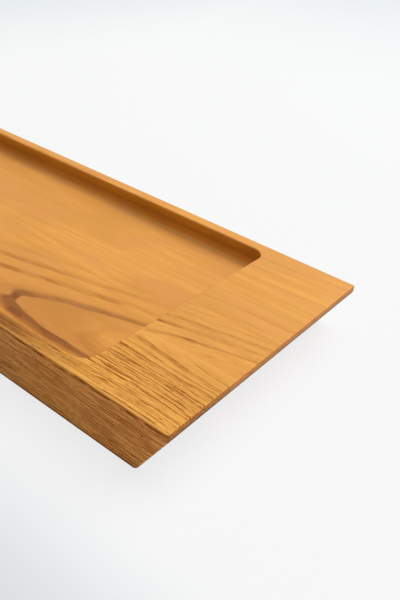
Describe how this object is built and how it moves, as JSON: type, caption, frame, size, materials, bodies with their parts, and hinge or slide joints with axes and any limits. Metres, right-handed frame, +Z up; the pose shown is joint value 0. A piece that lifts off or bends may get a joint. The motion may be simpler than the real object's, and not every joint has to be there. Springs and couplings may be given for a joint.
{
  "type": "decorative tray",
  "caption": "Long rectangular oak tray with a shallow milled pocket, flat end zones, undercut ends to lift it by, and anti-slip pads underneath.",
  "frame": {"origin": "on the table, under the middle of the tray", "axes": "+X along the length, +Y across the width from the front stave to the rear stave, +Z up"},
  "size_m": [0.4, 0.15, 0.0282],
  "materials": {
    "oak_front": "satin oil over flame-figured oak",
    "oak_rear": "satin oil over straight-grained oak",
    "pad_rubber": "matt"
  },
  "bodies": {
    "root": {"front_stave": "oak_front", "rear_stave": "oak_rear", "pad_front_left": "pad_rubber", "pad_front_right": "pad_rubber", "pad_rear_left": "pad_rubber", "pad_rear_right": "pad_rubber"}
  },
  "joints": []
}
